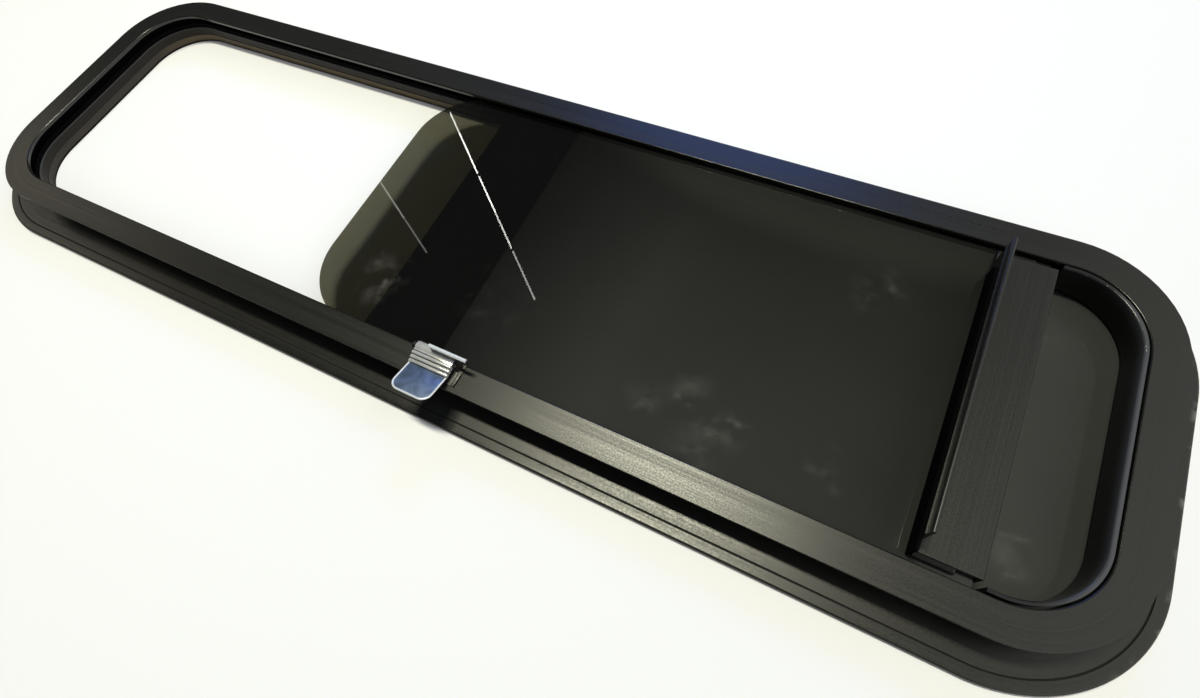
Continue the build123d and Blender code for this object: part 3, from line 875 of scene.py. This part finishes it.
class WINDOW_OT_frame(bpy.types.Operator):
    """Finish of the frame, clamp ring, mullion and pull stile"""

    bl_idname = "window.frame"
    bl_label = "Frame and stile"

    def execute(self, context):
        extrusion = anodised_material("black_anodised_frame", flanged=True)
        for node in (*FRAME_NODES, "mullion"):
            dress(node, extrusion)
        dress("clamp_ring", anodised_material("black_anodised_ring", edge=True))
        dress("slider_stile", anodised_material("black_anodised_stile", straight=True))
        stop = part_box("mullion")[0].x - RIB_RADIUS
        lines = [open_end_path(stop, WALL_OFFSET, height) for height in RIB_HEIGHTS]
        seat(bead("track_wall_ribs", lines, RIB_RADIUS, RIB_SIDES, extrusion), "frame")
        return {"FINISHED"}


class WINDOW_OT_glass(bpy.types.Operator):
    """Finish of the two tinted panes"""

    bl_idname = "window.glass"
    bl_label = "Tinted panes"

    def execute(self, context):
        look = finishes()
        dress("slider_glass", glass_material("tinted_slider", look.glass_tint, SLIDER_MARKS, **SLIDER_PANE))
        dress("fixed_glass", glass_material("tinted_fixed", look.fixed_tint, FIXED_MARKS, **FIXED_PANE))
        return {"FINISHED"}


class WINDOW_OT_seals(bpy.types.Operator):
    """Finish of the rubber seals and plastic pieces"""

    bl_idname = "window.seals"
    bl_label = "Seals and plugs"

    def execute(self, context):
        look = finishes()
        flock = soft_black_material("flocked_run", look.rubber_colour, **FLOCK)
        for node in (*RUN_NODES, "mullion_seal", "stile_rubber"):
            dress(node, flock)
        dress("fixed_glass_gasket", soft_black_material("gasket_rubber", look.rubber_colour, **RUBBER))
        plastic = soft_black_material("moulded_plastic", look.plastic_colour, **PLASTIC)
        for node in CAP_NODES:
            dress(node, plastic)
        # The liner carries a painted sheen under its top edge
        dress("channel_liner", soft_black_material(
            "rubbed_liner", look.plastic_colour, **PLASTIC, sheen_corner=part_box("channel_liner")[1]))
        return {"FINISHED"}


class LatchPlace:
    """Extents of the formed lever and places on it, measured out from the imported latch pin."""

    def __init__(self, sizes):
        low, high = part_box("latch_lever")
        middle = box_middle("latch_pin")
        self.pin = Vector((0.0, middle.y, middle.z))
        self.left, self.right = low.x, low.x + LEVER_WIDTH
        self.nose_left, self.nose_right = low.x + NOSE_LEAD, high.x + NOSE_EXTRA
        self.nose_top = high.z - middle.z - sizes.nose_bead
        self.along = Vector((0.0, math.cos(TAB_TURN), math.sin(TAB_TURN)))
        self.above = Vector((0.0, math.sin(TAB_TURN), -math.cos(TAB_TURN)))
        self.raised = self.along * math.cos(sizes.tab_rise) + self.above * math.sin(sizes.tab_rise)
        self.upper = self.above * math.cos(sizes.tab_rise) - self.along * math.sin(sizes.tab_rise)
        self.stand = Vector((0.0, math.cos(NOSE_TURN), math.sin(NOSE_TURN)))
        self.thick = Vector((0.0, -math.sin(NOSE_TURN), math.cos(NOSE_TURN)))

    def across_tab(self, reach, height, x):
        """A place on the flat of the tab, by its reach from the pin and its height."""
        return Vector((x, 0.0, 0.0)) + self.pin + self.along * reach + self.above * height

    def on_raised(self, x, reach, height):
        """A place on the raised tab plate, by its reach from the ramp's end and its height."""
        return self.across_tab(RAMP_END, 0.0, x) + self.raised * reach + self.upper * height

    def on_nose(self, x, reach, height):
        """A place on the standing nose, by its reach from the pin and its height."""
        return Vector((x, 0.0, 0.0)) + self.pin + self.stand * reach + self.thick * height


def tab_outline(place, sizes):
    """Middle line of the tab's rim: both sides and the outer edge with its round corners."""
    rim = sizes.rim_radius
    corner = sizes.tab_corner - rim
    low, high, far = place.left + rim, place.right - rim, sizes.tab_length - rim
    line = [(low, 0.0)] + arc(low + corner, far - corner, corner, 180, 90, CORNER_STEPS)
    return line + arc(high - corner, far - corner, corner, 90, 0, CORNER_STEPS) + [(high, 0.0)]


def tab_plate(place, outline, finish):
    """Flat tab plate within the rim."""
    shape = bmesh.new()
    prism(shape, outline, TAB_UNDER, TAB_UPPER, place.on_raised)
    return solid_piece("latch_tab_plate", shape, finish, TAB_BEVEL)


def formed_lever(place, sizes, finish):
    """Rolled barrel round the pin with the ridged ramp that runs down to the tab."""
    shape = bmesh.new()
    slope = (RAMP_RISE - TAB_UPPER) / (RAMP_END - RAMP_START)
    toe = RAMP_END + RAMP_LAP
    heel = RAMP_START - RAMP_BACK
    ramp = [(heel, RAMP_HEEL), (toe, RAMP_TOE), (toe, TAB_UPPER)]
    for i in range(RIDGES):
        reach = RAMP_END - RIDGE_PITCH * (i + 0.5)
        height = TAB_UPPER + slope * (RAMP_END - reach)
        ramp += arc(reach, height, sizes.ridge_radius, *RIDGE_ARC, RIDGE_STEPS)
    ramp += [(heel, RAMP_RISE)]
    prism(shape, ramp, place.left, place.right, place.across_tab)
    tube(shape, BARREL, PIN_BORE, place.left, place.right, place.across_tab, BARREL_SIDES)
    return solid_piece("latch_lever_formed", shape, finish, SHEET_BEVEL)


def nose_plate(place, finish):
    """Upright nose plate, wider above its root."""
    shape = bmesh.new()
    root = BARREL - NOSE_SINK
    left, right, top = place.nose_left, place.nose_right, place.nose_top
    outline = [(left, root), (place.right, root), (place.right, NOSE_ROOT), (right, NOSE_ROOT), (right, top),
               (left, top)]
    prism(shape, outline, -NOSE_HALF, NOSE_HALF, place.on_nose)
    return solid_piece("latch_nose_plate", shape, finish, SHEET_BEVEL)


def spring_clip(place, finish):
    """Bent wire clip that lies on the latch base beside the lever."""
    base_low, base_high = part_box("latch_base")
    left, right = place.right + CLIP_GAP + CLIP_WIRE, base_high.x - CLIP_WIRE
    low, high = base_low.y + CLIP_WIRE, base_low.y + CLIP_REACH
    level = RING_TOP + CLIP_SEAT + CLIP_WIRE * CLIP_SINK
    path = [(x, y, level) for x, y in ((left, high), (left, low), (right, low), (right, high))]
    return bead("latch_spring_clip", [path], CLIP_WIRE, CLIP_SIDES, finish)


def nose_edge(place, sizes, finish):
    """Rolled edge along the nose's top."""
    inset = sizes.nose_bead * EDGE_INSET
    ends = (place.nose_left + inset, place.nose_right - inset)
    path = [tuple(place.on_nose(x, place.nose_top, 0.0)) for x in ends]
    return bead("latch_nose_bead", [path], sizes.nose_bead * EDGE_SHARE, EDGE_SIDES, finish)


class WINDOW_OT_latch(bpy.types.Operator):
    """Formed latch lever with a rolled rim, ridges and nose, on its steel base and pin"""

    bl_idname = "window.latch"
    bl_label = "Flip latch"

    def execute(self, context):
        look, sizes = finishes(), latch_sizes()
        chrome = plated_material("latch_chrome", look.chrome_colour, **CHROME, valley_shade=True)
        # The rim and nose bead are chrome with a painted blue-white highlight
        bright = plated_material("latch_bright", look.bead_highlight_colour, **BEAD_HIGHLIGHT)
        # The tab's blue-grey colour is a painted reflection of blue sky on chrome
        satin = plated_material("latch_satin", look.tab_sky_colour, **TAB_PAINTED_SKY)
        steel = plated_material("latch_steel", look.steel_colour, **STEEL)
        for node in ("latch_base", "latch_pin"):
            dress(node, steel)
        dress("latch_lever", chrome)

        place = LatchPlace(sizes)
        outline = tab_outline(place, sizes)
        seat(tab_plate(place, outline, satin), "latch")
        lever = formed_lever(place, sizes, chrome)
        # The nose plate takes the dark steel finish as painted shade under the bright nose bead
        seat(nose_plate(place, steel), "latch")
        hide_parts("latch_lever")
        seat(lever, "latch")
        rim = [tuple(place.on_raised(x, reach, 0.0)) for x, reach in outline]
        seat(bead("latch_tab_rim", [rim], sizes.rim_radius, RIM_SIDES, bright), "latch")
        seat(spring_clip(place, steel), "frame")
        seat(nose_edge(place, sizes, bright), "latch")
        return {"FINISHED"}


def area_lamp(name, place, aim, size, power, colour, along=(1.0, 0.0, 0.0)):
    """A rectangular soft lamp at a place, turned towards a point, its first side along a direction."""
    data = bpy.data.lights.new(name, "AREA")
    data.shape = "RECTANGLE"
    data.size, data.size_y = size
    data.energy = power
    data.color = colour
    back = (Vector(place) - Vector(aim)).normalized()
    side = Vector(along)
    side = (side - back * side.dot(back)).normalized()
    turn = Matrix((side, back.cross(side), back)).transposed()
    lamp = new_piece(name, data)
    lamp.matrix_world = Matrix.Translation(Vector(place)) @ turn.to_4x4()
    return lamp


def tube_lamps(name, start, end, width, runs):
    """Thin ceiling tubes in one line, shining down: a run is two shares of the line and watts per metre."""
    first_end = Vector((*start, CEILING))
    line = Vector((*end, CEILING)) - first_end
    for number, (first, last, watts) in enumerate(runs):
        middle = first_end + line * (first + last) / 2
        length = line.length * (last - first)
        below = middle - Vector((0, 0, 1))
        area_lamp(f"{name}_{number}", middle, below, (length, width), watts * length, TUBE_COLOUR, along=line)


def link_panes(lamp, state):
    """Keeps a lamp's light off the two panes (EXCLUDE), or gives it to them alone (INCLUDE)."""
    group = bpy.data.collections.new(f"{lamp.name}_panes")
    lamp.light_linking.receiver_collection = group
    for node in PANE_NODES:
        group.objects.link(NODES[node])
    for entry in group.collection_objects:
        entry.light_linking.link_state = state


def studio_floor(settings):
    """Pale matt floor under the window."""
    corners = [(x * FLOOR_HALF, y * FLOOR_HALF, 0) for x, y in ((-1, -1), (1, -1), (1, 1), (-1, 1))]
    mesh = bpy.data.meshes.new("studio_floor")
    mesh.from_pydata(corners, [], [(0, 1, 2, 3)])
    floor = new_piece("studio_floor", mesh)
    made, _, shader = new_material("pale_floor")
    shader.inputs["Base Color"].default_value = colour4(settings.floor_colour)
    shader.inputs["Roughness"].default_value = FLOOR_ROUGHNESS
    shader.inputs["Specular IOR Level"].default_value = 0.0
    mesh.materials.append(made)


def room_light(settings):
    """World light: a bright side on the right, a dim one on the left and a faint glow on the far side."""
    world = bpy.data.worlds.new("room_light")
    world.use_nodes = True
    tree = world.node_tree
    axes = axes_of(tree, tree.nodes.new("ShaderNodeTexCoord").outputs["Generated"])
    side = product(tree, span(tree, axes["X"], *BRIGHT_X), span(tree, axes["Z"], *BRIGHT_Z))
    room = blend_colours(tree, side, settings.dim_side, settings.bright_side)
    glow = product(tree, span(tree, axes["Y"], *GLOW_Y), span(tree, axes["X"], *GLOW_X), GLOW_SHARE)
    room = blend_colours(tree, glow, room, settings.far_glow)
    fill(tree, tree.nodes["Background"].inputs["Color"], room)
    return world


def studio_lamps():
    """Overhead lamp, blue sky panel, warm left panel and ceiling tubes, which alone mirror in the panes."""
    link_panes(area_lamp("overhead_lamp", **OVERHEAD_LAMP), "EXCLUDE")
    pane_lamp = area_lamp("overhead_lamp_on_panes", **OVERHEAD_LAMP)
    pane_lamp.visible_glossy = False
    link_panes(pane_lamp, "INCLUDE")
    sky = area_lamp("sky_panel", **SKY_PANEL)
    sky.data.spread = SKY_SPREAD
    link_panes(sky, "EXCLUDE")
    link_panes(area_lamp("left_panel", **LEFT_PANEL), "EXCLUDE")
    tube_lamps("ceiling_tube", **FIRST_TUBE)
    tube_lamps("second_tube", **SECOND_TUBE)


def photo_camera(settings):
    """Camera at the photograph's place, with its lens and direction."""
    data = bpy.data.cameras.new("photo_camera")
    data.lens = settings.lens
    data.sensor_width = SENSOR_WIDTH
    data.clip_start = CLIP_START
    camera = new_piece("photo_camera", data)
    turn = Matrix((CAMERA_RIGHT, -CAMERA_DOWN, -CAMERA_AHEAD)).transposed()
    camera.matrix_world = Matrix.Translation(Vector(settings.camera_place)) @ turn.to_4x4()
    return camera


class WINDOW_OT_stage(bpy.types.Operator):
    """Floor, lamps, room light and camera"""

    bl_idname = "window.stage"
    bl_label = "Studio"

    def execute(self, context):
        settings = stage_settings()
        studio_floor(settings)
        context.scene.world = room_light(settings)
        studio_lamps()
        context.scene.camera = photo_camera(settings)
        context.scene.view_settings.view_transform = "Standard"
        return {"FINISHED"}


class VIEW3D_PT_window(bpy.types.Panel):
    """Sidebar panel with the window's steps and settings"""

    bl_label = "Camper window"
    bl_idname = "VIEW3D_PT_window"
    bl_space_type = "VIEW_3D"
    bl_region_type = "UI"
    bl_category = "Window"

    def draw(self, context):
        for step in STEPS:
            self.layout.operator(step.bl_idname)
        for group in (finishes(), latch_sizes(), stage_settings()):
            for name in group.__annotations__:
                self.layout.prop(group, name)


STEPS = (WINDOW_OT_frame, WINDOW_OT_glass, WINDOW_OT_seals, WINDOW_OT_latch, WINDOW_OT_stage)
CLASSES = (FinishSettings, LatchSettings, StageSettings, *STEPS, VIEW3D_PT_window)


def register():
    """Registers the classes and hangs the three groups of settings on the scene."""
    for made in CLASSES:
        bpy.utils.register_class(made)
    bpy.types.Scene.window_finishes = bpy.props.PointerProperty(type=FinishSettings)
    bpy.types.Scene.window_latch = bpy.props.PointerProperty(type=LatchSettings)
    bpy.types.Scene.window_stage = bpy.props.PointerProperty(type=StageSettings)


def unregister():
    """Takes the settings and the classes out again."""
    del bpy.types.Scene.window_stage
    del bpy.types.Scene.window_latch
    del bpy.types.Scene.window_finishes
    for made in reversed(CLASSES):
        bpy.utils.unregister_class(made)


def main():
    """Registers the add-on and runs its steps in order."""
    register()
    bpy.ops.window.frame()
    bpy.ops.window.glass()
    bpy.ops.window.seals()
    bpy.ops.window.latch()
    bpy.ops.window.stage()


if __name__ == "__main__":
    main()
